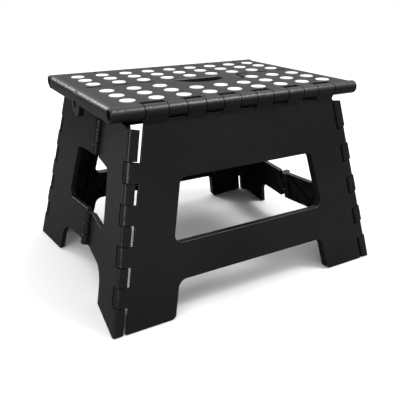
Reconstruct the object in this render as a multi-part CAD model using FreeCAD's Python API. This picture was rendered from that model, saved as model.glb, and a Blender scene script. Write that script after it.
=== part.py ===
"""Folding step stool, in millimetres.

+X runs along the long side of the standing surface, -Y is the front and +Z is up.
The origin is on the floor, under the middle of the standing surface.

The stool is a closed ring of plates: two top halves hinged along the middle, a leg panel
hinged under each long edge, and at each end a pair of leaves that joins the two panels.
Lifting the handle raises the middle hinge, the leg panels close on each other and the
leaves fold inwards between them.
"""
import FreeCAD, Part
import os
from math import acos, asin, atan2, ceil, cos, degrees, hypot, radians, sin, tan
from FreeCAD import Matrix, Placement, Rotation, Vector

X = Vector(1, 0, 0)
Y = Vector(0, 1, 0)
Z = Vector(0, 0, 1)

# ---- Standing surface ------------------------------------------------------------------
top_height = 228.6          # standing surface above the floor
top_half_length = 156.0     # middle to end, along X
edge_axis_y = 108.5         # hinge axis under each long edge, from the middle
rail_radius = 7.45          # round rail along each long edge, about the edge axis
top_depth = 15.1            # height of the top's skirt
plate = 3.4                 # thickness of the standing plate
end_wall = 5.0              # wall of the skirt at the ends
end_rounding = 8.0          # upper edge of the skirt at the ends
rail_depth = 19.5           # solid bar behind each rail, from the rail's front
rail_end_rounding = 2.0
rail_end_bore = 5.2         # radius of the recess at each rail end
rail_end_recess = 6.0       # its depth
fold_gap = 0.4              # between the top halves at rest
fold_wall = 3.2             # wall of each half along the fold

# ---- Middle fold -----------------------------------------------------------------------
fold_axis_drop = 16.6       # hinge axis below the standing surface
fold_knuckle_radius = 6.5
fold_pin_radius = 3.0
lug_radius = 14.0           # round ear at each end of the back half
lug_thickness = 6.0
lug_bore = 4.3              # radius of the pin recess in the ear
lug_bore_depth = 3.0
fold_notch = 4.0            # the back plate clears each front knuckle by this much
front_fold_knuckles = [(60.5, 76.0), (90.0, 108.0), (123.5, 140.5)]
back_fold_knuckles = [(77.0, 89.0), (109.0, 122.5)]

# ---- Handle ----------------------------------------------------------------------------
tongue_root = 58.0          # half length of the tongue where it leaves the back half
tongue_shoulder = 53.0      # half length at the shoulders
tongue_shoulder_y = 22.0
tongue_reach = 43.0         # furthest point, in front of the fold
tongue_corner = 14.0
tongue_depth = 13.8
tongue_back = 9.0           # the tongue's root runs this far behind the fold
slot_half_length = 34.5
slot_back = 1.0             # straight side of the hand slot, behind the fold
slot_front = 27.0           # top of its arch, in front of the fold
grip_rounding = 2.0
tongue_clearance = 1.6

# ---- Hinges along the long edges -------------------------------------------------------
edge_segments = [0.0, 10.6, 32.2, 52.7, 74.5, 95.5, 121.0]   # top, leg, top, leg, top, leg
edge_pin_radius = 2.5
edge_slot_gap = 2.2         # slot behind each knuckle of the leg panel
flare_start = radians(20)   # where the flare leaves the barrel, below its front
flare_drop = 13.0           # the flare ends on the panel's face this far below the edge axis

# ---- Leg panels ------------------------------------------------------------------------
panel_lean = radians(9.8)
leg_top_drop = 21.6         # top of the corner outline, below the standing surface
leg_top_half_length = 136.4 # corner outline there, along X
leg_foot_half_length = 181.2
panel_depth = 9.5
panel_skin = 2.6
panel_wall = 2.2
panel_upper_band = 56.0     # corner top to the window
panel_lower_band = 41.2     # window to the foot cut
foot_height = 42.0
panel_column = 61.5         # corner outline to the window
panel_foot_width = 72.5     # corner outline to the foot cut
window_radius = 8.0
foot_cut_radius = 11.0
foot_rounding = 8.0         # inner lower corner of each foot
panel_top_radius = 5.0

# ---- Corner hinges ---------------------------------------------------------------------
corner_radius = 5.75
corner_pin_radius = 2.0
corner_slot = 12.75         # corner outline to the edge of each leaf
panel_slot = 14.2           # corner outline to the edge of each leg panel
thin_edge = 6.0             # the panel is thin this far in from that edge
thin_edge_depth = 3.0
corner_end_knuckle = 32.2   # first and last knuckle; the seven between them are equal
corner_knuckles = 9
knuckle_gap = 1.0           # between neighbouring knuckles
knuckle_edge = 2.5          # rounding of the outer corner of a leaf knuckle
flush_depth = 5.5           # depth of a plate beside a corner hinge
panel_flush_width = 50.0    # how far that shallow strip reaches from the hinge axis
leaf_flush_width = 13.0

# ---- End leaves ------------------------------------------------------------------------
leaf_inset = 12.5           # the leaves meet this far inside the corner outline
leaf_inset_height = 100.0   # measured at this height
leaf_proud = 0.8            # middle axis outside the leaf's face at the upper knuckles
leaf_depth = 5.8
leaf_skin = 2.4
leaf_wall = 2.0
leaf_upper_band = 58.0
leaf_lower_band = 42.0
leaf_foot_height = 39.0
leaf_column = 69.0          # corner outline to the window
leaf_foot_width = 70.0      # corner outline to the foot cut
leaf_foot_radius = 22.0
leaf_floor_gap = 0.6        # the leg panels carry the load
leaf_knuckle_radius = 5.5
leaf_pin_radius = 1.6
leaf_pin_grip = 2.2         # each end of a leaf pin reaches this far into the neighbour's knuckle
leaf_knuckle_height = 13.6
upper_knuckles_drop = 15.0  # top of the upper knuckles, below the corner top
leaf_edge_gap = 7.0         # middle axis to the edge of each leaf
leaf_knuckle_gap = 0.9
leaf_hook_gap = 1.5         # round a leaf pin in the hooks that it leaves as the stool folds

# ---- Fold ------------------------------------------------------------------------------
fold_angle = radians(83.5)  # each top half, from flat to folded

# ---- Ribs ------------------------------------------------------------------------------
rib = 1.6
top_rib_pitch = 26.0
leg_rib_pitch = 24.0
leaf_rib_pitch = 22.0
rib_setback = 1.0           # ribs end this far inside the plate's depth
edge_rounding = 0.8         # outer edges of the plates
web_overlap = 2.0           # the webs of the knuckles reach this far into their plate

# ---- Inserts ---------------------------------------------------------------------------
dot_radius = 8.25
dot_depth = 1.4
dot_proud = 0.5
dot_rounding = 0.4
dot_pitch = 31.8
dot_columns = 9
dot_rows_front = [26.75, 56.0, 85.2]
dot_rows_back = [19.0, 48.0, 77.0]
handle_columns = 3          # columns left out of the first front row, for the handle
pad_thickness = 2.0
pad_length = 18.0
pad_width = 5.6
pad_inset = 2.2             # from the foot's edges
foot_sole = 6.0             # solid bottom of each foot
foot_lift = 0.4             # the pads stand out of the feet by this much
pin_clearance = 0.05        # running fit, on the radius
part_gap = 0.02             # between pieces that sit in one another

# ---- Worked out ------------------------------------------------------------------------
top_bottom = top_height - top_depth
plate_bottom = top_height - plate
edge_axis = Vector(0, -edge_axis_y, top_height - rail_radius)
fold_axis = Vector(0, 0, top_height - fold_axis_drop)
corner_top = top_height - leg_top_drop
corner_slope = (leg_foot_half_length - leg_top_half_length) / corner_top
foot_half_width = edge_axis_y + edge_axis.z * tan(panel_lean)
panel_top = edge_axis.z - rail_radius - 1.1
window_top = corner_top - panel_upper_band
window_bottom = foot_height + panel_lower_band
leaf_window_top = corner_top - leaf_upper_band
leaf_window_bottom = leaf_foot_height + leaf_lower_band
below = 8.0                 # plates are drawn this far below the floor and cut there


def corner_x(z):
    """X of the corner outline at height z."""
    return leg_foot_half_length - corner_slope * z


def corner_y(z):
    """Distance of the corner outline from the middle plane at height z."""
    return foot_half_width - tan(panel_lean) * z


# ---- Shapes ----------------------------------------------------------------------------
def sketch_frame(origin, across, up):
    """Placement whose local x is `across`, local y is `up` and local z points outwards."""
    out = across.cross(up)
    matrix = Matrix(across.x, up.x, out.x, origin.x, across.y, up.y, out.y, origin.y,
                    across.z, up.z, out.z, origin.z, 0, 0, 0, 1)
    return Placement(matrix)


def rounded_outline(points, radii):
    """Closed wire through the points (x, y), each corner rounded by a tangent arc."""
    count = len(points)
    corners = [Vector(x, y, 0) for x, y in points]
    edges = []
    starts = []
    ends = []
    for i, corner in enumerate(corners):
        back = (corners[i - 1] - corner).normalize()
        ahead = (corners[(i + 1) % count] - corner).normalize()
        half = back.getAngle(ahead) / 2
        reach = radii[i] / tan(half)
        starts.append(corner + back * reach)
        ends.append(corner + ahead * reach)
        if radii[i] > 0:
            centre = corner + (back + ahead).normalize() * (radii[i] / sin(half))
            middle = centre + (corner - centre).normalize() * radii[i]
            edges.append(Part.Arc(starts[i], middle, ends[i]).toShape())
    for i in range(count):
        following = (i + 1) % count
        if ends[i].distanceToPoint(starts[following]) > 1e-6:
            edges.append(Part.makeLine(ends[i], starts[following]))
    return Part.Wire(Part.__sortEdges__(edges))


def prism(wire, low, high, frame=None):
    """Solid over a flat wire, from local height low to high, put in its frame."""
    solid = Part.Face(wire).extrude(Vector(0, 0, high - low))
    solid.translate(Vector(0, 0, low))
    if frame is not None:
        solid.Placement = frame.multiply(solid.Placement)
    return solid


def block(low, high):
    """Box between two opposite corners."""
    size = high - low
    return Part.makeBox(size.x, size.y, size.z, low)


def rod(start, end, radius):
    """Round bar between two points."""
    return Part.makeCylinder(radius, start.distanceToPoint(end), start, end - start)


def mirrored(shape, normal):
    return shape.mirror(Vector(0, 0, 0), normal)


def lattice(width, height, pitch, low, high):
    """Crossed diagonal ribs over a rectangle about the local origin."""
    reach = hypot(width, height) / 2
    count = ceil(reach / pitch)
    bars = []
    for turn in (45, -45):
        for i in range(-count, count + 1):
            bar = Part.makeBox(2 * reach, rib, high - low, Vector(-reach, i * pitch - rib / 2, low))
            bar.rotate(Vector(0, 0, 0), Z, turn)
            bars.append(bar)
    return bars[0].multiFuse(bars[1:])


def one_solid(shape):
    """The shape as a clean single solid."""
    solids = shape.removeSplitter().Solids
    if len(solids) != 1:
        raise ValueError("expected one solid, found %d" % len(solids))
    return solids[0]


# ---- Corner frame: the slanted hinge between a leg panel and a leaf (front right) ----------
panel_up = Vector(0, sin(panel_lean), cos(panel_lean))
panel_frame = sketch_frame(Vector(0, -foot_half_width, 0), X, panel_up)
panel_inward = -panel_frame.Rotation.multVec(Z)
corner_foot = Vector(corner_x(0), -corner_y(0), 0)
corner_head = Vector(corner_x(corner_top), -corner_y(corner_top), corner_top)
corner_up = (corner_head - corner_foot).normalize()
corner_across = panel_inward.cross(corner_up).normalize()     # towards the panel's middle
if corner_across.x > 0:
    corner_across = -corner_across
corner_base = corner_foot + (corner_across + panel_inward) * corner_radius
corner_length = corner_foot.distanceToPoint(corner_head)
corner_frame = sketch_frame(corner_base, corner_across, -panel_inward)
corner_across_run = -corner_across.x    # share of a step across the corner that runs along X
leaf_apex = corner_base + corner_up * (-corner_base.y / corner_up.y)


def along_corner(height):
    """Distance up the corner line at a given height."""
    return height / corner_up.z


def leaf_axis_at(height):
    """Point of the leaves' middle hinge axis at a height; it meets the corner axis above."""
    low = Vector(corner_x(leaf_inset_height) - leaf_inset, 0, leaf_inset_height)
    return low + (leaf_apex - low) * ((height - low.z) / (leaf_apex.z - low.z))


upper_knuckles_top = corner_top - upper_knuckles_drop
leaf_reach = leaf_axis_at(upper_knuckles_top) - corner_base
leaf_reach = leaf_reach - corner_up * leaf_reach.dot(corner_up)
leaf_rise = asin((corner_radius + leaf_proud) / leaf_reach.Length)
leaf_sideways = leaf_reach.normalize()
leaf_outward = leaf_sideways.cross(corner_up).normalize() * cos(leaf_rise) + leaf_sideways * sin(leaf_rise)
leaf_across = corner_up.cross(leaf_outward).normalize()
leaf_frame = sketch_frame(corner_base + leaf_outward * corner_radius, leaf_across, corner_up)


def on_leaf(y, z):
    """Local sketch point of the leaf's outer face that lies y from the middle, z high."""
    origin = leaf_frame.Base
    det = leaf_across.y * corner_up.z - corner_up.y * leaf_across.z
    dy = -y - origin.y
    dz = z - origin.z
    return ((dy * corner_up.z - dz * corner_up.y) / det, (dz * leaf_across.y - dy * leaf_across.z) / det)


def middle_height(turn):
    """Edge axis after the top half has turned, with the fold axis held at its rest height."""
    arm = Rotation(X, degrees(turn)).multVec(edge_axis - fold_axis)
    return Vector(0, arm.y, fold_axis.z + arm.z)


def closing_panel_turn():
    """Turn towards upright that keeps the leg panels' common apex on the middle plane."""
    arm = leaf_apex - edge_axis
    reach = hypot(arm.y, arm.z)
    return asin(arm.y / reach) - asin(-middle_height(fold_angle).y / reach)


def closing_leaf_turn():
    """Turn of a leaf about its corner that brings its middle axis back to the middle plane."""
    arm = leaf_axis_at(leaf_inset_height) - corner_base
    along = corner_up * arm.dot(corner_up)
    around = arm - along
    lean = Rotation(X, degrees(panel_turn))
    fixed = middle_height(fold_angle).y + lean.multVec(corner_base - edge_axis + along).y
    level = lean.multVec(around).y
    ahead = lean.multVec(corner_up.cross(around)).y
    return atan2(ahead, level) + acos(-fixed / hypot(level, ahead))


panel_turn = closing_panel_turn()
leaf_turn = closing_leaf_turn()


# ---- Top halves ------------------------------------------------------------------------
def tongue_outline(grow):
    """Outline of the handle tongue, grown by a clearance."""
    root = tongue_root + grow
    shoulder = tongue_shoulder + grow
    reach = tongue_reach + grow
    left = Vector(-shoulder, -tongue_shoulder_y - grow, 0)
    right = Vector(shoulder, -tongue_shoulder_y - grow, 0)
    sides = [Part.makeLine(right, Vector(root, 0, 0)),
             Part.makeLine(Vector(root, 0, 0), Vector(root, tongue_back, 0)),
             Part.makeLine(Vector(root, tongue_back, 0), Vector(-root, tongue_back, 0)),
             Part.makeLine(Vector(-root, tongue_back, 0), Vector(-root, 0, 0)),
             Part.makeLine(Vector(-root, 0, 0), left)]
    arch = Part.Arc(left, Vector(0, -reach, 0), right).toShape()
    return Part.Wire(Part.__sortEdges__(sides + [arch]))


def tongue_solid(grow, low, high):
    """The tongue as a prism with rounded shoulders."""
    solid = prism(tongue_outline(grow), low, high)
    shoulders = [edge for edge in solid.Edges
                 if abs(edge.tangentAt(edge.FirstParameter).z) > 0.99
                 and edge.CenterOfMass.y < -tongue_shoulder_y / 2]
    return solid.makeFillet(tongue_corner + grow, shoulders)


def hand_slot(low, high):
    left = Vector(-slot_half_length, slot_back, 0)
    right = Vector(slot_half_length, slot_back, 0)
    arch = Part.Arc(left, Vector(0, -slot_front, 0), right).toShape()
    solid = prism(Part.Wire([arch, Part.makeLine(right, left)]), low, high)
    corners = [edge for edge in solid.Edges
               if abs(edge.tangentAt(edge.FirstParameter).z) > 0.99]
    return solid.makeFillet(tongue_corner / 3, corners)


def both_sides(spans):
    return spans + [(-high, -low) for low, high in spans]


def fold_knuckles(spans, side):
    """Barrels about the fold axis and the webs that carry them; side is -1 in front."""
    pieces = []
    for low, high in both_sides(spans):
        start = fold_axis + X * low
        pieces.append(rod(start, fold_axis + X * high, fold_knuckle_radius))
        near = side * fold_gap / 2
        far = side * fold_knuckle_radius
        pieces.append(block(Vector(low, min(near, far), fold_axis.z),
                            Vector(high, max(near, far), plate_bottom + plate / 2)))
    return pieces


def fold_clearances(spans):
    """Room round the other half's barrels."""
    grown = knuckle_gap / 2
    return [rod(fold_axis + X * (low - grown), fold_axis + X * (high + grown), fold_knuckle_radius + 0.8)
            for low, high in both_sides(spans)]


def leg_spans(grown):
    """Spans of the leg panel's knuckles along the edge, grown at both ends."""
    spans = [(edge_segments[i], edge_segments[i + 1]) for i in (1, 3, 5)]
    return [(low - grown, high + grown) for low, high in both_sides(spans)]


def leg_slots():
    """Slots along the front edge for the leg panel's knuckles."""
    back = -edge_axis_y + rail_radius + edge_slot_gap
    return [block(Vector(low, -edge_axis_y - 2 * rail_radius, top_bottom - 5),
                  Vector(high, back, top_height + 5))
            for low, high in leg_spans(knuckle_gap / 2)]


def half_slab(rows, columns_left_out):
    """One half of the top as the front half: slab, rail, hollow, ribs, bores and dot seats."""
    front = -edge_axis_y
    slab = block(Vector(-top_half_length, front, top_bottom),
                 Vector(top_half_length, -fold_gap / 2, top_height))
    upper_ends = [edge for edge in slab.Edges
                  if abs(edge.tangentAt(edge.FirstParameter).y) > 0.99
                  and edge.CenterOfMass.z > top_height - 1]
    slab = slab.makeFillet(end_rounding, upper_ends)
    rail = rod(edge_axis - X * top_half_length, edge_axis + X * top_half_length, rail_radius)
    rail = rail.makeFillet(rail_end_rounding, [edge for edge in rail.Edges if edge.Curve.TypeId == 'Part::GeomCircle'])
    hollow = block(Vector(-top_half_length + end_wall, front - rail_radius + rail_depth, top_bottom - 1),
                   Vector(top_half_length - end_wall, -fold_gap / 2 - fold_wall, plate_bottom))
    middle = Vector(0, (front - fold_gap) / 2, 0)
    ribs = lattice(2 * top_half_length, edge_axis_y, top_rib_pitch, top_bottom + rib_setback, plate_bottom)
    ribs.translate(middle)
    ribs = ribs.common(hollow)
    body = slab.fuse(rail).cut(hollow).fuse(ribs)
    bore = rod(edge_axis - X * top_half_length, edge_axis + X * top_half_length, edge_pin_radius + pin_clearance)
    recesses = [rod(edge_axis + X * (side * (top_half_length + 1)),
                    edge_axis + X * (side * (top_half_length - rail_end_recess)), rail_end_bore)
                for side in (-1, 1)]
    seats = [Part.makeCylinder(dot_radius + part_gap, dot_depth + 1, Vector(x, -y, top_height - dot_depth))
             for x, y in dot_places(rows, columns_left_out)]
    return body.cut([bore] + recesses + leg_slots() + seats)


def dot_places(rows, columns_left_out):
    """Centres of the dots: (x, distance from the fold)."""
    places = []
    for row, y in enumerate(rows):
        for column in range(dot_columns):
            offset = column - (dot_columns - 1) / 2
            if row > 0 or abs(offset) >= columns_left_out / 2:
                places.append((offset * dot_pitch, y))
    return places


def dots(rows, columns_left_out, side):
    """Raised round inserts as a group of separate solids."""
    pieces = []
    for x, y in dot_places(rows, columns_left_out):
        dot = Part.makeCylinder(dot_radius, dot_depth + dot_proud, Vector(x, side * y, top_height - dot_depth))
        rims = [edge for edge in dot.Edges if edge.BoundBox.ZMin > top_height and edge.Closed]
        pieces.append(dot.makeFillet(dot_rounding, rims))
    return Part.makeCompound(pieces)


def fold_pin_span(side):
    """Ends of a fold pin, from beside the handle to inside the ear."""
    inner = fold_axis + X * (side * (front_fold_knuckles[0][0] + part_gap))
    outer = fold_axis + X * (side * (top_half_length - lug_bore_depth - part_gap))
    return inner, outer


def fold_bores():
    grown = fold_pin_radius + pin_clearance
    bores = []
    for side in (-1, 1):
        inner, outer = fold_pin_span(side)
        bores.append(rod(inner - X * side * part_gap, outer + X * side, grown))
    return bores


def top_front_half():
    body = half_slab(dot_rows_front, handle_columns)
    surround = tongue_solid(tongue_clearance + fold_wall, top_bottom + rib_setback, plate_bottom)
    surround = surround.common(block(Vector(-top_half_length, -edge_axis_y, 0),
                                     Vector(top_half_length, -fold_gap / 2, top_height)))
    body = body.fuse([surround] + fold_knuckles(front_fold_knuckles, -1))
    ends = [rod(fold_axis + X * (side * (top_half_length - lug_thickness - knuckle_gap)),
                fold_axis + X * (side * (top_half_length + 1)), lug_radius + 1.0) for side in (-1, 1)]
    scallop = tongue_solid(tongue_clearance, top_bottom - 5, top_height + 5)
    return one_solid(body.cut([scallop] + ends + fold_clearances(back_fold_knuckles) + fold_bores()))


def carry_handle():
    """The tongue with its hand slot, seated in the back half behind the fold."""
    tongue = tongue_solid(0, top_height - tongue_depth, top_height)
    tongue = tongue.cut(hand_slot(top_bottom - 5, top_height + 5))
    rims = [edge for edge in tongue.Edges
            if (edge.BoundBox.ZMin > top_height - 0.01 or edge.BoundBox.ZMax < top_height - tongue_depth + 0.01)
            and edge.BoundBox.YMax < tongue_back - 1]
    return one_solid(tongue.makeFillet(grip_rounding, rims))


def top_back_half():
    body = mirrored(half_slab(dot_rows_back, 0), Y)
    seat = block(Vector(-tongue_root - fold_wall, fold_gap / 2, top_bottom),
                 Vector(tongue_root + fold_wall, tongue_back + fold_wall, plate_bottom))
    seat_room = block(Vector(-tongue_root, -1, top_bottom - 1), Vector(tongue_root, tongue_back, top_height + 1))
    lugs = [rod(fold_axis + X * (side * (top_half_length - lug_thickness)),
                fold_axis + X * (side * top_half_length), lug_radius) for side in (-1, 1)]
    for i, lug in enumerate(lugs):
        outer = [edge for edge in lug.Edges if edge.Closed and abs(edge.CenterOfMass.x) > top_half_length - 0.01]
        lugs[i] = lug.makeFillet(1.0, outer).common(block(Vector(-top_half_length, -top_depth, 0),
                                                          Vector(top_half_length, top_depth + 5, top_height)))
    body = body.fuse([seat] + lugs + fold_knuckles(back_fold_knuckles, 1))
    cuts = [seat_room] + fold_clearances(front_fold_knuckles) + fold_bores()
    grown = knuckle_gap / 2
    for low, high in both_sides(front_fold_knuckles):
        cuts.append(block(Vector(low - grown, -1, fold_axis.z), Vector(high + grown, fold_notch, top_height + 1)))
    for side in (-1, 1):
        cuts.append(rod(fold_axis + X * (side * (top_half_length - lug_bore_depth)),
                        fold_axis + X * (side * (top_half_length + 1)), lug_bore))
    return one_solid(body.cut(cuts))


# ---- Leg panels ------------------------------------------------------------------------
def on_panel(x, z):
    """Local sketch point of the panel's outer face at height z."""
    return (x, z / panel_up.z)


def mirrored_outline(points, radii):
    """Closed outline from its right half, listed round from the middle."""
    left = [(-x, y) for x, y in reversed(points)]
    return rounded_outline(points + left, radii + radii[::-1])


def panel_outline():
    side = panel_slot / corner_across_run
    points = [on_panel(corner_x(foot_height) - panel_foot_width, foot_height),
              on_panel(corner_x(0) - panel_foot_width, 0),
              on_panel(corner_x(0) - side, 0),
              on_panel(corner_x(panel_top) - side, panel_top)]
    return mirrored_outline(points, [foot_cut_radius, foot_rounding, 0, panel_top_radius])


def panel_window():
    points = [on_panel(corner_x(window_top) - panel_column, window_top),
              on_panel(corner_x(window_bottom) - panel_column, window_bottom)]
    return mirrored_outline(points, [window_radius, window_radius])


def corner_spans(first):
    """Every second knuckle along the corner, as (low, high) distances from the floor."""
    middle = (corner_length - 2 * corner_end_knuckle) / (corner_knuckles - 2)
    bounds = [-below] + [corner_end_knuckle + i * middle for i in range(corner_knuckles - 1)]
    bounds.append(corner_length)
    grown = knuckle_gap / 2
    return [(bounds[i] + grown, bounds[i + 1] - grown) for i in range(first, corner_knuckles, 2)]


def corner_rod(low, high, radius):
    return rod(corner_base + corner_up * low, corner_base + corner_up * high, radius)


def corner_prism(points, radii, low, high):
    """Prism along the corner axis; points are (towards the middle, towards the front)."""
    return prism(rounded_outline(points, radii), low, high, corner_frame)


def panel_knuckles():
    """Knuckles on the edge axis, each with a neck and a flare down to the panel's face."""
    axis_up = edge_axis.z / panel_up.z
    top_up = panel_top / panel_up.z
    flare = flare_start
    section = [(part_gap, axis_up - flare_drop), (rail_radius, top_up - panel_wall), (rail_radius, axis_up), (0, axis_up),
               (-rail_radius * cos(flare), axis_up - rail_radius * sin(flare))]
    wire = rounded_outline(section, [0] * len(section))
    frame = sketch_frame(panel_frame.Base, panel_inward, panel_up)
    pieces = []
    for low, high in leg_spans(-knuckle_gap / 2):
        pieces.append(rod(edge_axis + X * low, edge_axis + X * high, rail_radius))
        pieces.append(prism(wire, low, high, frame))
    return pieces


def corner_panel_knuckles():
    """The panel's knuckles at the front right corner: a barrel and a web flush with the face."""
    reach = panel_slot - corner_radius + thin_edge + web_overlap
    web = [(0, 0), (reach, 0), (reach, corner_radius), (0, corner_radius)]
    pieces = []
    for low, high in corner_spans(1):
        pieces.append(corner_rod(low, high, corner_radius))
        pieces.append(corner_prism(web, [0] * 4, low, high))
    return pieces


def along_corner_strip(near, far, back, front):
    """Full-length bar beside the corner hinge, between two distances from its axis."""
    return corner_prism([(near, back), (far, back), (far, front), (near, front)], [0] * 4,
                        -3 * below, corner_length + 3 * below)


def floor_block(height):
    """Everything below a height."""
    reach = 2 * leg_foot_half_length
    return block(Vector(-reach, -reach, -5 * below), Vector(reach, reach, height))


def shell(outline, window, depth, skin, wall, pitch):
    """Open-backed plate in its sketch plane: skin, walls round every edge and crossed ribs.

    Returns the plate and its solid blank.
    """
    blank = prism(outline, -depth, 0)
    if window is not None:
        blank = blank.cut(prism(window, -2 * depth, 1))
    rims = [edge for edge in blank.Edges if edge.BoundBox.ZMin > -0.001]
    rounded = blank.makeFillet(edge_rounding, rims)
    back = [face for face in blank.Faces if face.BoundBox.ZMax < -depth + 0.001][0]
    inner = back.makeOffset2D(-wall)
    pocket = inner.extrude(Vector(0, 0, depth - skin))
    box = blank.BoundBox
    ribs = lattice(box.XLength, box.YLength, pitch, rib_setback - depth, -skin)
    ribs.translate(Vector(box.Center.x, box.Center.y, 0))
    return rounded.cut(pocket).fuse(ribs.common(pocket)), blank


def placed(piece, frame):
    moved = piece.copy()
    moved.Placement = frame.multiply(moved.Placement)
    return moved


def foot_pad(side, grown):
    """Rubber pad under one foot of the front panel."""
    inner = corner_x(0) - panel_foot_width + foot_rounding + pad_inset
    front = -foot_half_width + pad_inset
    low = Vector(inner - grown, front - grown, 0)
    pad = block(low, Vector(inner + pad_length + grown, front + pad_width + grown, pad_thickness + grown))
    return pad if side > 0 else mirrored(pad, X)


def front_leg_panel():
    body, blank = [placed(piece, panel_frame) for piece in
                   shell(panel_outline(), panel_window(), panel_depth, panel_skin, panel_wall, leg_rib_pitch)]
    back = corner_radius - panel_depth
    stile = along_corner_strip(panel_flush_width - panel_wall, panel_flush_width, back, corner_radius - 1)
    stile = stile.common(blank)
    strip = along_corner_strip(-30, panel_flush_width - panel_wall, back - 30, corner_radius - flush_depth)
    body = body.fuse([stile, mirrored(stile, X), blank.common(floor_block(foot_sole))])
    edge = along_corner_strip(-30, panel_slot - corner_radius + thin_edge, back - 30, corner_radius - thin_edge_depth)
    body = body.cut([strip, edge, mirrored(strip, X), mirrored(edge, X)])
    corners = corner_panel_knuckles()
    body = body.fuse(panel_knuckles() + corners + [mirrored(piece, X) for piece in corners])
    bore = corner_rod(-3 * below, corner_length + below, corner_pin_radius + pin_clearance)
    edge_bore = rod(edge_axis - X * top_half_length, edge_axis + X * top_half_length,
                    edge_pin_radius + pin_clearance)
    seats = [foot_pad(side, part_gap) for side in (-1, 1)]
    return one_solid(body.cut([bore, mirrored(bore, X), edge_bore, floor_block(foot_lift)] + seats))


# ---- End leaves (built as the front right one) -----------------------------------------
def leaf_edge(a, z):
    """Local sketch point at height z on the line a from the corner axis."""
    return (a, (z - leaf_frame.Base.z - a * leaf_across.z) / corner_up.z)


def leaf_outline():
    side = corner_slot - corner_radius
    points = [leaf_edge(side, -below),
              on_leaf(corner_y(-below) - leaf_foot_width, -below),
              on_leaf(corner_y(leaf_foot_height) - leaf_foot_width, leaf_foot_height),
              on_leaf(leaf_edge_gap, leaf_foot_height),
              on_leaf(leaf_edge_gap, leaf_window_bottom),
              on_leaf(corner_y(leaf_window_bottom) - leaf_column, leaf_window_bottom),
              on_leaf(corner_y(leaf_window_top) - leaf_column, leaf_window_top),
              on_leaf(leaf_edge_gap, leaf_window_top),
              on_leaf(leaf_edge_gap, corner_top),
              leaf_edge(side, corner_top)]
    return rounded_outline(points, [0, 0, leaf_foot_radius, 2, 2, window_radius, window_radius, 2, 3, 2])


def leaf_corner_knuckles():
    """Barrel, squared outer corner and web of each leaf knuckle on the corner axis."""
    face = corner_radius
    inner = corner_radius - 0.5
    corner = [(-face, 0), (inner, 0), (inner, face), (-face, face)]
    reach = corner_slot - corner_radius + web_overlap
    pieces = []
    for low, high in corner_spans(0):
        pieces.append(corner_rod(low, high, corner_radius))
        pieces.append(corner_prism(corner, [0, 0, 1.0, knuckle_edge], low, high))
        web = Part.makeBox(reach, high - low, corner_radius, Vector(0, low, -corner_radius))
        pieces.append(placed(web, leaf_frame))
    return pieces


def middle_spans():
    """Heights of the middle hinge's knuckles: two groups of three."""
    groups = []
    for low in (leaf_foot_height, corner_top - upper_knuckles_drop - 3 * leaf_knuckle_height):
        groups.append([(low + i * leaf_knuckle_height, low + (i + 1) * leaf_knuckle_height) for i in range(3)])
    return groups


def middle_frame(height):
    """On the middle axis at a height: across into the leaf, then outwards, then up the axis."""
    up = (leaf_axis_at(1) - leaf_axis_at(0)).normalize()
    inward = -leaf_across
    inward = (inward - up * inward.dot(up)).normalize()
    return sketch_frame(leaf_axis_at(height), inward, up.cross(inward))


def middle_box(low, high, into, out, inside, outside):
    """Box round a stretch of the middle axis, from beyond the leaf's edge to into the leaf."""
    length = leaf_axis_at(low).distanceToPoint(leaf_axis_at(high))
    box = Part.makeBox(out + into, inside + outside, length, Vector(-out, -inside, 0))
    return placed(box, middle_frame(low))


def leaf_middle_knuckles(indices):
    """Barrels on the middle axis, joined to the leaf by webs as thick as the leaf."""
    slab = placed(Part.makeBox(400, 600, leaf_depth, Vector(-100, -100, -leaf_depth)), leaf_frame)
    pieces = []
    for group in middle_spans():
        for i in indices:
            low = group[i][0] + leaf_knuckle_gap / 2
            high = group[i][1] - leaf_knuckle_gap / 2
            pieces.append(rod(leaf_axis_at(low), leaf_axis_at(high), leaf_knuckle_radius))
            web = middle_box(low, high, leaf_edge_gap + web_overlap, 0, leaf_depth * 2, leaf_depth * 2)
            pieces.append(web.common(slab))
    return pieces


def leaf_pin_spans():
    """Heights of the pins: through each middle knuckle and into the knuckle on each side."""
    return [(group[1][0] - leaf_pin_grip, group[1][1] + leaf_pin_grip) for group in middle_spans()]


def pin_hooks():
    """Room for the pins that leave their hooks towards the leaf's edge and outer face."""
    close = leaf_pin_radius + leaf_hook_gap
    wide = 2 * leaf_knuckle_radius
    return [middle_box(low - leaf_knuckle_gap, high + leaf_knuckle_gap, close, wide, close, wide)
            for low, high in leaf_pin_spans()]


def pin_bores():
    """Running fit round the leaf pins."""
    return [rod(leaf_axis_at(low), leaf_axis_at(high), leaf_pin_radius + pin_clearance)
            for low, high in leaf_pin_spans()]


def leaf(indices, pin_room):
    """Front right leaf with the middle knuckles that it owns."""
    body, blank = [placed(piece, leaf_frame) for piece in
                   shell(leaf_outline(), None, leaf_depth, leaf_skin, leaf_wall, leaf_rib_pitch)]
    body = body.fuse(blank.common(floor_block(foot_sole)))
    shallow = Part.makeBox(100, 600, 100, Vector(leaf_flush_width - 100, -100, -100 - flush_depth))
    body = body.cut(placed(shallow, leaf_frame))
    body = body.fuse(leaf_corner_knuckles() + leaf_middle_knuckles(indices))
    bore = corner_rod(-3 * below, corner_length + below, corner_pin_radius + pin_clearance)
    return one_solid(body.cut(pin_room + [bore, floor_block(leaf_floor_gap)]))


# ---- Pins ------------------------------------------------------------------------------
def edge_pin():
    reach = top_half_length - rail_end_recess - part_gap
    return rod(edge_axis - X * reach, edge_axis + X * reach, edge_pin_radius)


def fold_pin(side):
    inner, outer = fold_pin_span(side)
    return rod(inner, outer, fold_pin_radius)


def corner_pin():
    """From just above the floor to just under the top of the last knuckle."""
    return corner_rod(along_corner(leaf_floor_gap) + 2.5, corner_length - 1.0, corner_pin_radius)


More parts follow.
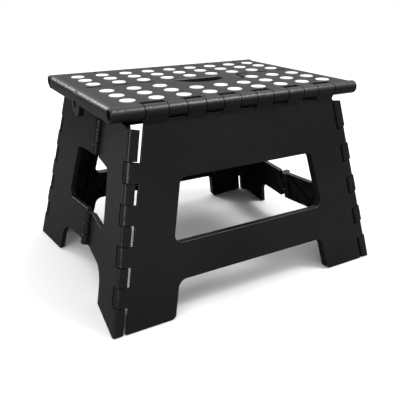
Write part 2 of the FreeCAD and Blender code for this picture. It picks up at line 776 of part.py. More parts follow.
def leaf_pins():
    """Lower and upper pin of the right-hand pair of leaves."""
    return [mirrored(rod(leaf_axis_at(low), leaf_axis_at(high), leaf_pin_radius), Y)
            for low, high in leaf_pin_spans()]


# ---- Write the parts -------------------------------------------------------------------
def write(name, shape):
    if not shape.isValid():
        raise ValueError(name + " is not a valid shape")
    shape.exportStep("parts/" + name + ".step")
    print("%-24s %3d solid(s) %10.1f mm3" % (name, len(shape.Solids), shape.Volume))


def main():
    os.makedirs("parts", exist_ok=True)
    print("fold %.4f, leg panel %.4f, leaf %.4f degrees"
          % (degrees(fold_angle), degrees(panel_turn), degrees(leaf_turn)))
    print("corner base", tuple(corner_base), "corner axis", tuple(corner_up))
    write("top_front_half", top_front_half())
    write("top_back_half", top_back_half())
    write("carry_handle", carry_handle())
    write("front_dots", dots(dot_rows_front, handle_columns, -1))
    write("back_dots", dots(dot_rows_back, 0, 1))
    write("front_edge_pin", edge_pin())
    write("back_edge_pin", mirrored(edge_pin(), Y))
    write("left_fold_pin", fold_pin(-1))
    write("right_fold_pin", fold_pin(1))
    panel = front_leg_panel()
    write("front_leg_panel", panel)
    write("back_leg_panel", mirrored(panel, Y))
    pads = Part.makeCompound([foot_pad(-1, 0), foot_pad(1, 0)])
    write("front_foot_pads", pads)
    write("back_foot_pads", mirrored(pads, Y))
    front_leaf = leaf([0, 2], pin_hooks())
    back_leaf = mirrored(leaf([1], pin_bores()), Y)
    write("right_front_leaf", front_leaf)
    write("left_front_leaf", mirrored(front_leaf, X))
    write("right_back_leaf", back_leaf)
    write("left_back_leaf", mirrored(back_leaf, X))
    pin = corner_pin()
    write("right_front_corner_pin", pin)
    write("left_front_corner_pin", mirrored(pin, X))
    write("right_back_corner_pin", mirrored(pin, Y))
    write("left_back_corner_pin", mirrored(mirrored(pin, X), Y))
    for level, leaf_pin in zip(("lower", "upper"), leaf_pins()):
        write("right_%s_leaf_pin" % level, leaf_pin)
        write("left_%s_leaf_pin" % level, mirrored(leaf_pin, X))


if __name__ == "__main__":
    main()
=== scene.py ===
"""Folding step stool: finishes, grip dots, tread pads, studio and camera.

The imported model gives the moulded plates, hinges and pins. This file adds the grip dots and
the tread pads, and dresses every piece in its finish. Lengths are in metres.
"""
import logging
from dataclasses import dataclass, field
from enum import Enum
from typing import Any, Sequence

import bmesh
import bpy
import numpy as np
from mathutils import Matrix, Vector


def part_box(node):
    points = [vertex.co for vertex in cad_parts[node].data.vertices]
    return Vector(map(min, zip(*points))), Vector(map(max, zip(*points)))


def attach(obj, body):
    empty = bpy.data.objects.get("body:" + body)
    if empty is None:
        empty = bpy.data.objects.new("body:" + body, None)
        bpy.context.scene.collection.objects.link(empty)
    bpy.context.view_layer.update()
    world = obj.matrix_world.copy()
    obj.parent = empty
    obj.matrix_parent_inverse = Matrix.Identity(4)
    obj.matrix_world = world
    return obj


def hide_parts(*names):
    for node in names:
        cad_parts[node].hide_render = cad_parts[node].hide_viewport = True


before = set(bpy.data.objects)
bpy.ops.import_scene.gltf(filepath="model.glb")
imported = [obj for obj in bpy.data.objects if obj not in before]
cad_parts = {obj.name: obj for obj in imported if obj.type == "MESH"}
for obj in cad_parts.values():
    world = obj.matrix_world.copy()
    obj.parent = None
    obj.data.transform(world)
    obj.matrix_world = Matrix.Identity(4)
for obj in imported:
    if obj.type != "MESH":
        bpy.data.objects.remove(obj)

log = logging.getLogger("step_stool")
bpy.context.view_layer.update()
POLE = 1e-5  # radius of the ring that is closed into a pole
POLE_MERGE = 3 * POLE  # points nearer than this are joined, which closes the ring
DIAGONAL = 0.7071  # share of a step along an axis that counts along the diagonal

Colour = tuple[float, float, float, float]


class Facing(Enum):
    """The two object axes across which a plate's ribs run."""

    TOP = ("X", "Y")
    LONG_SIDE = ("X", "Z")
    END = ("Y", "Z")


class Lay(Enum):
    """Direction of the fine turning marks on a pin."""

    ALONG_X = (1.0, 40.0, 40.0)
    ALONG_Z = (40.0, 40.0, 1.0)


# ---- Node helpers ----------------------------------------------------------------------
@dataclass
class Graph:
    """A node tree with short calls for the nodes that the finishes use."""

    tree: bpy.types.NodeTree
    output: bpy.types.Node | None = None

    def add(self, kind: str, **settings: Any) -> bpy.types.Node:
        """Add a node and set its properties.

        Args:
            kind: Blender's node type name.
            settings: properties to set on the node.

        Returns:
            The new node.
        """
        node = self.tree.nodes.new(kind)
        for name, value in settings.items():
            setattr(node, name, value)
        return node

    def link(self, source: bpy.types.NodeSocket, target: bpy.types.NodeSocket) -> None:
        """Join two sockets."""
        self.tree.links.new(source, target)

    def feed(self, socket: bpy.types.NodeSocket, value: Any) -> None:
        """Put a number or another socket into a socket.

        Args:
            socket: the input to fill.
            value: a number, a colour or an output socket.
        """
        if isinstance(value, bpy.types.NodeSocket):
            self.link(value, socket)
        else:
            socket.default_value = value

    def math(self, operation: str, *values: Any) -> bpy.types.NodeSocket:
        """Work out one number from others.

        Args:
            operation: Blender's name for the operation.
            values: numbers or sockets, in order.

        Returns:
            The result's socket.
        """
        node = self.add("ShaderNodeMath", operation=operation)
        for socket, value in zip(node.inputs, values):
            self.feed(socket, value)
        return node.outputs[0]

    def remap(self, value: Any, low: float, high: float, to_low: float = 0.0, to_high: float = 1.0,
              smooth: bool = True) -> bpy.types.NodeSocket:
        """Carry a range of numbers to another range.

        Args:
            value: the number or socket to carry.
            low: start of the old range.
            high: end of the old range.
            to_low: start of the new range.
            to_high: end of the new range.
            smooth: ease in and out of the ends.

        Returns:
            The result's socket.
        """
        node = self.add("ShaderNodeMapRange", interpolation_type="SMOOTHSTEP" if smooth else "LINEAR")
        for name, number in (("Value", value), ("From Min", low), ("From Max", high),
                             ("To Min", to_low), ("To Max", to_high)):
            self.feed(node.inputs[name], number)
        return node.outputs["Result"]

    def noise(self, where: Any, scale: float, detail: float = 2.0,
              roughness: float = 0.5) -> bpy.types.NodeSocket:
        """Soft random values in space.

        Args:
            where: socket with the coordinates.
            scale: cells per metre.
            detail: layers of finer noise.
            roughness: weight of the finer layers.

        Returns:
            Socket of values about one half.
        """
        node = self.add("ShaderNodeTexNoise")
        self.feed(node.inputs["Vector"], where)
        self.feed(node.inputs["Scale"], scale)
        self.feed(node.inputs["Detail"], detail)
        self.feed(node.inputs["Roughness"], roughness)
        return node.outputs["Fac"]

    def blend(self, share: Any, first: Any, second: Any) -> bpy.types.NodeSocket:
        """Mix two colours.

        Args:
            share: how much of the second.
            first: colour or socket.
            second: colour or socket.

        Returns:
            The mixed colour's socket.
        """
        node = self.add("ShaderNodeMix", data_type="RGBA")
        self.feed(node.inputs[0], share)
        self.feed(node.inputs[6], first)
        self.feed(node.inputs[7], second)
        return node.outputs[2]

    def place(self, group: bpy.types.NodeTree, where: bpy.types.NodeSocket,
              **values: float) -> bpy.types.Node:
        """Put a shared effect into this tree.

        Args:
            group: the effect's node group.
            where: socket with the coordinates.
            values: numbers for the group's other inputs.

        Returns:
            The group's node.
        """
        node = self.add("ShaderNodeGroup", node_tree=group)
        self.link(where, node.inputs["Where"])
        for name, number in values.items():
            node.inputs[name].default_value = number
        return node


def new_group(name: str, takes: dict[str, tuple[str, Any]], gives: Sequence[str],
              ) -> tuple[bpy.types.NodeTree, Graph, bpy.types.Node, bpy.types.Node]:
    """Start a shader node group.

    Args:
        name: the group's name.
        takes: each input's name, with its socket type and default.
        gives: names of the outputs, all plain numbers.

    Returns:
        The group, its graph, and its input and output nodes.
    """
    group = bpy.data.node_groups.new(name, "ShaderNodeTree")
    for label, (kind, default) in takes.items():
        socket = group.interface.new_socket(label, in_out="INPUT", socket_type=kind)
        if default is not None:
            socket.default_value = default
    for label in gives:
        group.interface.new_socket(label, in_out="OUTPUT", socket_type="NodeSocketFloat")
    graph = Graph(group)
    return group, graph, graph.add("NodeGroupInput"), graph.add("NodeGroupOutput")


@dataclass
class Effects:
    """The surface effects that several finishes share, each built once as a node group.

    Scales are in cells per metre.
    """

    grain_cells: float = 900.0
    fine_grain: float = 2600.0
    fine_share: float = 0.45
    gloss_patches: float = 14.0
    rib_pitch: float = 0.024
    rib_half_width: float = 0.0022
    scuff_streaks: float = 120.0
    scuff_stretch: tuple[float, float, float] = (1.0, 3.2, 2.1)
    scuff_turn: tuple[float, float, float] = (0.3, 0.2, 0.6)
    wear_patches: float = 11.0
    dust_specks: float = 38.0
    grain: bpy.types.NodeTree = field(init=False)
    ribs: bpy.types.NodeTree = field(init=False)
    wear: bpy.types.NodeTree = field(init=False)

    def __post_init__(self) -> None:
        """Build every group."""
        self.grain = self._grain()
        self.ribs = self._rib_sinks()
        self.wear = self._handling()

    def _grain(self) -> bpy.types.NodeTree:
        """Spark-eroded mould grain: small rounded cells with finer noise between them.

        Returns:
            A group that gives Height, about 0 to 1, and Gloss, a slow change of sheen.
        """
        group, g, inp, out = new_group(
            "MouldGrain",
            {"Where": ("NodeSocketVector", None), "Cells": ("NodeSocketFloat", self.grain_cells)},
            ["Height", "Gloss"])
        cells = g.add("ShaderNodeTexVoronoi", feature="SMOOTH_F1")
        g.link(inp.outputs["Where"], cells.inputs["Vector"])
        g.link(inp.outputs["Cells"], cells.inputs["Scale"])
        fine = g.noise(inp.outputs["Where"], self.fine_grain, detail=3.0, roughness=0.6)
        round_cells = g.remap(cells.outputs["Distance"], low=0.05, high=0.75)
        pits = g.math("MULTIPLY", round_cells, 1.0 - self.fine_share)
        g.link(g.math("MULTIPLY_ADD", fine, self.fine_share, pits), out.inputs["Height"])
        patches = g.noise(inp.outputs["Where"], self.gloss_patches, detail=3.0, roughness=0.55)
        g.link(patches, out.inputs["Gloss"])
        return group

    def _rib_sinks(self) -> bpy.types.NodeTree:
        """Faint sinks over crossed diagonal ribs.

        The distance to the nearest line of two families, A + B and A - B, is folded into one
        pitch and turned into a soft band that is 1 over a rib and 0 between ribs.

        Returns:
            A group that gives Band, 0 to 1.
        """
        group, g, inp, out = new_group(
            "RibSinks",
            {"A": ("NodeSocketFloat", 0.0), "B": ("NodeSocketFloat", 0.0),
             "Pitch": ("NodeSocketFloat", self.rib_pitch),
             "Half Width": ("NodeSocketFloat", self.rib_half_width)},
            ["Band"])
        bands = []
        for operation in ("ADD", "SUBTRACT"):
            along = g.math("MULTIPLY", g.math(operation, inp.outputs["A"], inp.outputs["B"]), DIAGONAL)
            fold = g.math("PINGPONG", along, g.math("MULTIPLY", inp.outputs["Pitch"], 0.5))
            share = g.math("DIVIDE", fold, inp.outputs["Half Width"])
            bands.append(g.remap(share, low=0.0, high=1.0, to_low=1.0, to_high=0.0))
        g.link(g.math("MAXIMUM", *bands), out.inputs["Band"])
        return group

    def _handling(self) -> bpy.types.NodeTree:
        """Marks of use: small scuffs and a thin uneven film of dust.

        Returns:
            A group that gives Scuff and Dust, 0 to 1.
        """
        group, g, inp, out = new_group(
            "Handling", {"Where": ("NodeSocketVector", None)}, ["Scuff", "Dust"])
        stretch = g.add("ShaderNodeMapping")
        g.link(inp.outputs["Where"], stretch.inputs["Vector"])
        stretch.inputs["Scale"].default_value = self.scuff_stretch
        stretch.inputs["Rotation"].default_value = self.scuff_turn
        streaks = g.noise(stretch.outputs["Vector"], self.scuff_streaks, detail=5.0, roughness=0.7)
        patches = g.noise(inp.outputs["Where"], self.wear_patches)
        sharp_streaks = g.remap(streaks, low=0.62, high=0.74)
        scuff = g.math("MULTIPLY", sharp_streaks, g.remap(patches, low=0.5, high=0.7))
        g.link(scuff, out.inputs["Scuff"])
        specks = g.noise(inp.outputs["Where"], self.dust_specks, detail=6.0, roughness=0.65)
        g.link(g.math("MULTIPLY", specks, g.remap(patches, low=0.3, high=0.7)), out.inputs["Dust"])
        return group


# ---- Finishes --------------------------------------------------------------------------
def start_finish(name: str) -> tuple[bpy.types.Material, Graph, bpy.types.Node, bpy.types.NodeSocket]:
    """Start a material with its shader and the object's own coordinates.

    Args:
        name: the material's name.

    Returns:
        The material, its graph, the shader node and the coordinates' socket.
    """
    material = bpy.data.materials.new(name)
    material.use_nodes = True
    material.node_tree.nodes.clear()
    graph = Graph(material.node_tree)
    graph.output = graph.add("ShaderNodeOutputMaterial")
    shader = graph.add("ShaderNodeBsdfPrincipled")
    graph.link(shader.outputs["BSDF"], graph.output.inputs["Surface"])
    return material, graph, shader, graph.add("ShaderNodeTexCoord").outputs["Object"]


def add_bump(graph: Graph, shader: bpy.types.Node, height: bpy.types.NodeSocket, depth: float) -> None:
    """Let a height shape the shader's normal.

    Args:
        graph: the material's graph.
        shader: the shader that takes the normal.
        height: socket of heights, 0 to 1.
        depth: metres between height 0 and height 1.
    """
    bump = graph.add("ShaderNodeBump")
    bump.inputs["Distance"].default_value = depth
    graph.link(height, bump.inputs["Height"])
    graph.link(bump.outputs["Normal"], shader.inputs["Normal"])


@dataclass(frozen=True)
class MouldedBlack:
    """Black polypropylene with mould grain and the sinks of the ribs behind it."""

    facing: Facing
    rib_pitch: float = 0.024
    shade: Colour = (0.0085, 0.0085, 0.0092, 1.0)
    worn_shade: Colour = (0.034, 0.034, 0.036, 1.0)
    roughness: float = 0.27
    gloss_change: float = 0.12
    scuff_polish: float = 0.08
    sink_polish: float = 0.035
    dust_share: float = 0.30
    scuff_share: float = 0.5
    grain_depth: float = 0.0001
    sink_share: float = 0.9
    refraction: float = 1.49

    def build(self, effects: Effects) -> bpy.types.Material:
        """Build the material.

        Args:
            effects: the shared node groups.

        Returns:
            The finished material.
        """
        material, g, shader, where = start_finish("moulded_black_" + self.facing.name.lower())
        grain = g.place(effects.grain, where)
        wear = g.place(effects.wear, where)
        split = g.add("ShaderNodeSeparateXYZ")
        g.link(where, split.inputs[0])
        ribs = g.add("ShaderNodeGroup", node_tree=effects.ribs)
        first, second = self.facing.value
        g.link(split.outputs[first], ribs.inputs["A"])
        g.link(split.outputs[second], ribs.inputs["B"])
        ribs.inputs["Pitch"].default_value = self.rib_pitch
        rubbed = g.math("MULTIPLY_ADD", wear.outputs["Dust"], self.dust_share,
                        g.math("MULTIPLY", wear.outputs["Scuff"], self.scuff_share))
        g.link(g.blend(rubbed, self.shade, self.worn_shade), shader.inputs["Base Color"])
        sheen = g.math("MULTIPLY_ADD", grain.outputs["Gloss"], self.gloss_change, self.roughness)
        sheen = g.math("MULTIPLY_ADD", wear.outputs["Scuff"], -self.scuff_polish, sheen)
        sheen = g.math("MULTIPLY_ADD", ribs.outputs["Band"], -self.sink_polish, sheen)
        g.link(sheen, shader.inputs["Roughness"])
        height = g.math("MULTIPLY_ADD", ribs.outputs["Band"], -self.sink_share, grain.outputs["Height"])
        add_bump(g, shader, height, self.grain_depth)
        shader.inputs["IOR"].default_value = self.refraction
        return material


@dataclass(frozen=True)
class GripInsert:
    """Off-white soft insert, slightly soiled, with a fine matt texture."""

    shade: Colour = (0.86, 0.86, 0.85, 1.0)
    soiled: Colour = (0.60, 0.59, 0.56, 1.0)
    dust_share: float = 0.35
    roughness: float = 0.50
    gloss_change: float = 0.15
    grain_cells: float = 1500.0
    grain_depth: float = 0.00005
    refraction: float = 1.45

    def build(self, effects: Effects) -> bpy.types.Material:
        """Build the material.

        Args:
            effects: the shared node groups.

        Returns:
            The finished material.
        """
        material, g, shader, where = start_finish("grip_insert")
        grain = g.place(effects.grain, where, Cells=self.grain_cells)
        wear = g.place(effects.wear, where)
        dust = g.math("MULTIPLY", wear.outputs["Dust"], self.dust_share)
        g.link(g.blend(dust, self.shade, self.soiled), shader.inputs["Base Color"])
        sheen = g.math("MULTIPLY_ADD", grain.outputs["Gloss"], self.gloss_change, self.roughness)
        g.link(sheen, shader.inputs["Roughness"])
        add_bump(g, shader, grain.outputs["Height"], self.grain_depth)
        shader.inputs["IOR"].default_value = self.refraction
        return material


@dataclass(frozen=True)
class BlackenedSteel:
    """Blackened drawn wire with fine marks along its length."""

    lay: Lay
    shade: Colour = (0.060, 0.060, 0.064, 1.0)
    bare: Colour = (0.30, 0.29, 0.28, 1.0)
    drawn_marks: float = 60.0
    mark_depth: float = 0.00002
    roughness: float = 0.25
    gloss_change: float = 0.25
    metal: float = 0.9

    def build(self, effects: Effects) -> bpy.types.Material:
        """Build the material.

        Args:
            effects: the shared node groups.

        Returns:
            The finished material.
        """
        material, g, shader, where = start_finish("blackened_steel_" + self.lay.name.lower())
        stretch = g.add("ShaderNodeMapping")
        g.link(where, stretch.inputs["Vector"])
        stretch.inputs["Scale"].default_value = self.lay.value
        drawn = g.noise(stretch.outputs["Vector"], self.drawn_marks, detail=4.0, roughness=0.6)
        wear = g.place(effects.wear, where)
        worn = g.math("MULTIPLY", g.remap(drawn, low=0.55, high=0.8), wear.outputs["Dust"])
        g.link(g.blend(worn, self.shade, self.bare), shader.inputs["Base Color"])
        g.link(g.math("MULTIPLY_ADD", drawn, self.gloss_change, self.roughness), shader.inputs["Roughness"])
        add_bump(g, shader, drawn, self.mark_depth)
        shader.inputs["Metallic"].default_value = self.metal
        return material


@dataclass(frozen=True)
class FootRubber:
    """Dull dark rubber with dust in its texture."""

    shade: Colour = (0.020, 0.020, 0.020, 1.0)
    dust: Colour = (0.13, 0.125, 0.115, 1.0)
    grain_cells: float = 1200.0
    grain_depth: float = 0.00012
    roughness: float = 0.68
    gloss_change: float = 0.2

    def build(self, effects: Effects) -> bpy.types.Material:
        """Build the material.

        Args:
            effects: the shared node groups.

        Returns:
            The finished material.
        """
        material, g, shader, where = start_finish("foot_rubber")
        grain = g.place(effects.grain, where, Cells=self.grain_cells)
        wear = g.place(effects.wear, where)
        g.link(g.blend(wear.outputs["Dust"], self.shade, self.dust), shader.inputs["Base Color"])
        sheen = g.math("MULTIPLY_ADD", grain.outputs["Height"], self.gloss_change, self.roughness)
        g.link(sheen, shader.inputs["Roughness"])
        add_bump(g, shader, grain.outputs["Height"], self.grain_depth)
        return material


# ---- Surfaces --------------------------------------------------------------------------
def surface_object(name: str, points: np.ndarray, faces: np.ndarray,
                   smooth: bool = True) -> bpy.types.Object:
    """Put whole arrays of points and faces into a mesh object at the origin.

    Args:
        name: the object's name.
        points: corner places, one row each, in metres.
        faces: four corner numbers a row.
        smooth: shade across the faces.

    Returns:
        The new object, linked to the scene.
    """
    mesh = bpy.data.meshes.new(name)
    mesh.from_pydata(points.tolist(), [], faces.tolist())
    poles = bmesh.new()
    poles.from_mesh(mesh)
    bmesh.ops.remove_doubles(poles, verts=poles.verts, dist=POLE_MERGE)
    poles.to_mesh(mesh)
    poles.free()
    mesh.polygons.foreach_set("use_smooth", np.full(len(mesh.polygons), smooth))
    mesh.update()
    piece = bpy.data.objects.new(name, mesh)
    bpy.context.scene.collection.objects.link(piece)
    return piece


def grid_faces(rows: int, columns: int, closed: bool) -> np.ndarray:
    """Faces of a grid of points.

    Args:
        rows: points along the first parameter.
        columns: points along the second parameter.
        closed: the last column joins the first.

    Returns:
        Corner numbers, four a row, with the normal along the first direction crossed with the second.
    """
    across = columns if closed else columns - 1
    row, column = np.meshgrid(np.arange(rows - 1), np.arange(across), indexing="ij")
    after = (column + 1) % columns
    return np.stack([row * columns + column, (row + 1) * columns + column,
                     (row + 1) * columns + after, row * columns + after], -1).reshape(-1, 4)


@dataclass
class GripDots:
    """Round soft inserts standing a little out of each top half."""

    radius: float = 0.00825
    proud: float = 0.0005
    crown: float = 0.00018
    sunk: float = 0.0004
    rim: float = 0.0006
    rings: int = 3
    ring_height: float = 0.00006
    pitch: float = 0.0318
    columns: int = 9
    front_rows: tuple[float, ...] = (0.02675, 0.056, 0.0852)
    back_rows: tuple[float, ...] = (0.019, 0.048, 0.077)
    handle_columns: int = 3
    sides: int = 32
    crown_steps: int = 12
    rim_steps: int = 5

    def profile(self) -> tuple[np.ndarray, np.ndarray]:
        """Radius and height of a dot's section, from its middle to its hidden lower edge.

        The height falls from the crown with the square of the radius and carries a fine wave
        of concentric rings; the rim turns down on a quarter circle.

        Returns:
            Radii and heights above the standing plate.
        """
        share = np.linspace(0.0, 1.0, self.crown_steps)
        flat = share * (self.radius - self.rim)
        wave = self.ring_height * np.cos(2 * np.pi * self.rings * share)
        height = self.proud + self.crown * (1 - share**2) + wave - wave[-1]
        turn = np.linspace(0.0, np.pi / 2, self.rim_steps)[1:]
        radii = np.concatenate([flat, flat[-1] + self.rim * np.sin(turn), [self.radius, POLE]])
        radii[0] = POLE
        edge = self.proud - self.rim * (1 - np.cos(turn))
        return radii, np.concatenate([height, edge, [-self.sunk, -self.sunk]])

    def centres(self, rows: Sequence[float], side: int, left_out: int) -> np.ndarray:
        """Places of the dots of one top half.

        Args:
            rows: distance of each row from the fold.
            side: -1 in front, 1 behind.
            left_out: columns left out of the first row, about the middle.

        Returns:
            X and Y of each dot.
        """
        column = np.arange(self.columns) - (self.columns - 1) / 2
        across, along = np.meshgrid(column, np.asarray(rows))
        keep = (along != rows[0]) | (np.abs(across) >= left_out / 2)
        return np.stack([across[keep] * self.pitch, side * along[keep]], -1)

    def build(self, name: str, centres: np.ndarray, top: float) -> bpy.types.Object:
        """Turn the profile about each centre.

        Args:
            name: the piece's name.
            centres: X and Y of each dot.
            top: height of the standing plate.

        Returns:
            One object with all the dots of a half.
        """
        radii, heights = self.profile()
        turn = np.linspace(0.0, 2 * np.pi, self.sides, endpoint=False)
        around = np.stack([np.cos(turn), np.sin(turn)], -1)
        flat = radii[:, None, None] * around[None]
        level = np.broadcast_to((top + heights)[:, None, None], flat.shape[:2] + (1,))
        dot = np.concatenate([flat, level], -1).reshape(-1, 3)
        offset = np.concatenate([centres, np.zeros((len(centres), 1))], -1)
        points = (dot[None] + offset[:, None]).reshape(-1, 3)
        faces = grid_faces(len(radii), self.sides, True)
        every = (faces[None] + np.arange(len(centres))[:, None, None] * len(dot)).reshape(-1, 4)
        return surface_object(name, points, every)

    def dress(self, piece: bpy.types.Object, node: str, body: str, material: bpy.types.Material) -> None:
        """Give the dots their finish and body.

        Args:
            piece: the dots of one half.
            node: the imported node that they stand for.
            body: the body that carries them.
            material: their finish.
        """
        piece.data.materials.append(material)
        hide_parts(node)
        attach(piece, body)
        log.info("%s: %d faces on %s", piece.name, len(piece.data.polygons), body)


@dataclass
class FootPads:
    """Rubber pads under the feet of one leg panel, with a grooved tread."""

    length: float = 0.018
    grooves: int = 6
    groove_depth: float = 0.0006
    groove_fade: int = 4
    end: float = 0.0012
    squareness: float = 7.0
    rows: int = 97
    around: int = 64

    def pad(self, low: np.ndarray, high: np.ndarray) -> np.ndarray:
        """One pad's surface.

        A squared oval section runs along the pad. Its size follows a quarter circle to nothing
        at each end, and its lower side rises by a cosine wave, the grooves of the tread. A power
        of the section's depth keeps the wave to the lower side.

        Args:
            low: lowest corner of the pad.
            high: highest corner of the pad.

        Returns:
            Points on a grid of rows along the pad and columns round its section.
        """
        along = np.sin(np.linspace(-np.pi / 2, np.pi / 2, self.rows))[:, None]
        half = (high - low) / 2
        near = np.clip((np.abs(along) * half[0] - (half[0] - self.end)) / self.end, 0.0, 1.0)
        size = np.maximum(np.sqrt(1 - near**2), POLE / half[1])
        turn = -np.linspace(0.0, 2 * np.pi, self.around, endpoint=False)[None]
        power = 2 / self.squareness
        side = np.sign(np.cos(turn)) * np.abs(np.cos(turn)) ** power
        rise = np.sign(np.sin(turn)) * np.abs(np.sin(turn)) ** power
        wave = self.groove_depth * (0.5 - 0.5 * np.cos(2 * np.pi * self.grooves * (along + 1) / 2))
        under = np.clip(-rise, 0.0, 1.0) ** self.groove_fade
        middle = (high + low) / 2
        points = np.stack(np.broadcast_arrays(middle[0] + half[0] * along,
                                              middle[1] + half[1] * size * side,
                                              middle[2] + size * (half[2] * rise + wave * under)), -1)
        return points.reshape(-1, 3)

    def build(self, half: str, body: str, material: bpy.types.Material) -> bpy.types.Object:
        """Build and dress the two pads of a leg panel.

        Args:
            half: front or back.
            body: the body that carries them.
            material: their finish.

        Returns:
            One object with both pads.
        """
        node = half + "_foot_pads"
        low, high = (np.array(corner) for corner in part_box(node))
        right = self.pad(np.array([high[0] - self.length, low[1], low[2]]), high)
        left = self.pad(low, np.array([low[0] + self.length, high[1], high[2]]))
        faces = grid_faces(self.rows, self.around, True)
        piece = surface_object(half + "_tread_pads", np.concatenate([left, right]),
                               np.concatenate([faces, faces + len(left)]))
        piece.data.materials.append(material)
        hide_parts(node)
        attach(piece, body)
        log.info("%s: %d faces on %s", piece.name, len(piece.data.polygons), body)
        return piece


# ---- Sub-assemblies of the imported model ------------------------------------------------
@dataclass
class PackedPieces:
    """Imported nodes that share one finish."""

    label: str
    nodes: tuple[str, ...]
    material: bpy.types.Material

    def dress(self) -> None:
        """Give every node the finish."""
        for name in self.nodes:
            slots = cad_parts[name].data.materials
            slots.clear()
            slots.append(self.material)
            log.info("%s: %s in %s", self.label, name, self.material.name)


@dataclass
class Stool:
    """The whole stool: packed plates and pins, and the added surfaces."""

    effects: Effects = field(default_factory=Effects)
    dots: GripDots = field(default_factory=GripDots)
    pads: FootPads = field(default_factory=FootPads)
    top_rib_pitch: float = 0.026
    end_rib_pitch: float = 0.022

    def build_dots(self) -> None:
        """Build and dress the grip dots of both halves."""
        material = GripInsert().build(self.effects)
        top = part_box("top_back_half")[1].z
        halves = (("front", -1, self.dots.front_rows, self.dots.handle_columns),
                  ("back", 1, self.dots.back_rows, 0))
        for half, side, rows, left_out in halves:
            piece = self.dots.build(half + "_grip_dots", self.dots.centres(rows, side, left_out), top)
            self.dots.dress(piece, half + "_dots", "top_" + half, material)

    def build_feet(self) -> None:
        """Build and dress the tread pads of both leg panels."""
        material = FootRubber().build(self.effects)
        for half in ("front", "back"):
            self.pads.build(half, half + "_leg", material)

    def dress_plates(self) -> None:
        """Give the plates and pins their finishes."""
        sides = ("left", "right")
        corners = tuple(f"{side}_{half}" for side in sides for half in ("front", "back"))
        meetings = tuple(f"{side}_{height}" for side in sides for height in ("lower", "upper"))
        ends = tuple(corner + "_leaf" for corner in corners)
        upright = tuple(corner + "_corner_pin" for corner in corners)
        upright += tuple(meeting + "_leaf_pin" for meeting in meetings)
        level = ("front_edge_pin", "back_edge_pin", "left_fold_pin", "right_fold_pin")
        groups = (
            PackedPieces("standing top", ("top_front_half", "top_back_half", "carry_handle"),
                         MouldedBlack(Facing.TOP, self.top_rib_pitch).build(self.effects)),
            PackedPieces("leg panels", ("front_leg_panel", "back_leg_panel"),
                         MouldedBlack(Facing.LONG_SIDE).build(self.effects)),
            PackedPieces("end leaves", ends,
                         MouldedBlack(Facing.END, self.end_rib_pitch).build(self.effects)),
            PackedPieces("level pins", level, BlackenedSteel(Lay.ALONG_X).build(self.effects)),
            PackedPieces("upright pins", upright, BlackenedSteel(Lay.ALONG_Z).build(self.effects)),
        )
        for group in groups:
            group.dress()


# ---- Studio ----------------------------------------------------------------------------
@dataclass(frozen=True)
class Panel:
    """A square soft light: its middle, the point that it faces, its side and its watts."""

    name: str
    place: tuple[float, float, float]
    target: tuple[float, float, float]
    size: float
    power: float

    def build(self) -> None:
        """Add the light, which the camera doesn't see."""
        light = bpy.data.lights.new(self.name, "AREA")
        light.size = self.size
        light.energy = self.power
        lamp = bpy.data.objects.new(self.name, light)
        lamp.location = self.place
        lamp.visible_camera = False
        towards = Vector(self.target) - Vector(self.place)
        lamp.rotation_euler = towards.to_track_quat("-Z", "Y").to_euler()
        bpy.context.scene.collection.objects.link(lamp)


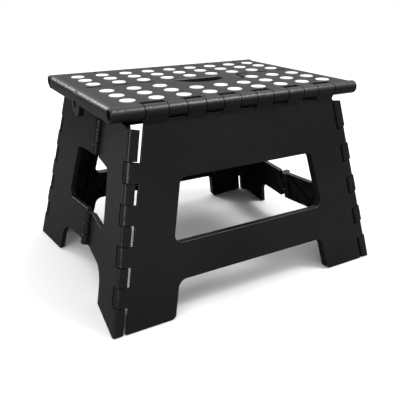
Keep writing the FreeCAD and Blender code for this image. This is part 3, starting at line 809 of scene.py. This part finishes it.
@dataclass
class Studio:
    """Pale floor, soft light and the camera."""

    eye: tuple[float, float, float] = (-0.31477, -0.56166, 0.33412)
    sight: tuple[float, float, float] = (0.4555, 0.8019, -0.3867)
    lens: float = 46.07
    sensor: float = 36.0
    floor_size: float = 14.0
    floor_drop: float = 0.0005
    floor_shades: tuple[float, float] = (0.94, 0.97)
    floor_roughness: float = 0.9
    floor_gloss: float = 0.1
    mottle: float = 3.0
    bounce: float = 0.11
    sky: float = 1.35
    horizon: float = 0.05
    sky_start: float = 0.02
    sky_full: float = 0.8
    panels: tuple[Panel, ...] = (
        Panel("overhead", (0.8, -0.7, 1.6), (0.0, 0.0, 0.2), 0.5, 14.0),
        Panel("back_left", (-0.7, 1.5, 1.0), (0.0, 0.0, 0.2), 0.5, 9.0),
        Panel("front_left", (-1.5, -0.95, 0.5), (0.0, 0.0, 0.12), 0.4, 6.0),
    )

    def build_floor(self) -> None:
        """Pale floor with a barely visible mottling, clear when looked at from below.

        Light that it throws back at the stool is dimmed to the bounce, so the plastic stays black.
        """
        half = self.floor_size / 2
        outline = np.array([[-half, -half], [half, -half], [half, half], [-half, half]])
        corners = np.concatenate([outline, np.full((len(outline), 1), -self.floor_drop)], -1)
        floor = surface_object("studio_floor", corners, np.array([[0, 1, 2, 3]]), False)
        material, g, shader, where = start_finish("studio_floor")
        darker, lighter = ((shade, shade, shade, 1.0) for shade in self.floor_shades)
        white = g.blend(g.noise(where, self.mottle), darker, lighter)
        seen = g.add("ShaderNodeLightPath").outputs["Is Camera Ray"]
        dim = (self.bounce, self.bounce, self.bounce, 1.0)
        g.link(g.blend(seen, dim, white), shader.inputs["Base Color"])
        shader.inputs["Roughness"].default_value = self.floor_roughness
        shader.inputs["Specular IOR Level"].default_value = self.floor_gloss
        clear = g.add("ShaderNodeMixShader")
        g.link(g.add("ShaderNodeNewGeometry").outputs["Backfacing"], clear.inputs[0])
        g.link(shader.outputs["BSDF"], clear.inputs[1])
        g.link(g.add("ShaderNodeBsdfTransparent").outputs["BSDF"], clear.inputs[2])
        g.link(clear.outputs["Shader"], g.output.inputs["Surface"])
        floor.data.materials.append(material)

    def build_light(self) -> None:
        """Soft light from above that falls off towards the horizon, and the soft panels.

        The surroundings' brightness rises from the horizon's to the sky's on a smooth step of the
        direction's height. Seen directly, they are plain white.
        """
        world = bpy.data.worlds.new("studio")
        world.use_nodes = True
        g = Graph(world.node_tree)
        split = g.add("ShaderNodeSeparateXYZ")
        g.link(g.add("ShaderNodeTexCoord").outputs["Generated"], split.inputs[0])
        above = g.remap(split.outputs["Z"], self.sky_start, self.sky_full, self.horizon, self.sky)
        seen = g.add("ShaderNodeLightPath").outputs["Is Camera Ray"]
        background = world.node_tree.nodes["Background"]
        g.link(g.math("MAXIMUM", above, seen), background.inputs["Strength"])
        background.inputs["Color"].default_value = (1.0, 1.0, 1.0, 1.0)
        bpy.context.scene.world = world
        bpy.context.scene.view_settings.view_transform = "Standard"
        for panel in self.panels:
            panel.build()

    def build_camera(self) -> None:
        """Camera in front and to the left, a little above the stool."""
        data = bpy.data.cameras.new("camera")
        data.lens = self.lens
        data.sensor_width = self.sensor
        camera = bpy.data.objects.new("camera", data)
        camera.location = self.eye
        camera.rotation_euler = Vector(self.sight).to_track_quat("-Z", "Y").to_euler()
        bpy.context.scene.collection.objects.link(camera)
        bpy.context.scene.camera = camera


def main() -> None:
    """Build the studio and the stool, in order."""
    logging.basicConfig(level=logging.INFO, format="%(name)s %(message)s")
    studio = Studio()
    studio.build_camera()
    studio.build_light()
    studio.build_floor()
    stool = Stool()
    stool.dress_plates()
    stool.build_dots()
    stool.build_feet()


if __name__ == "__main__":
    main()
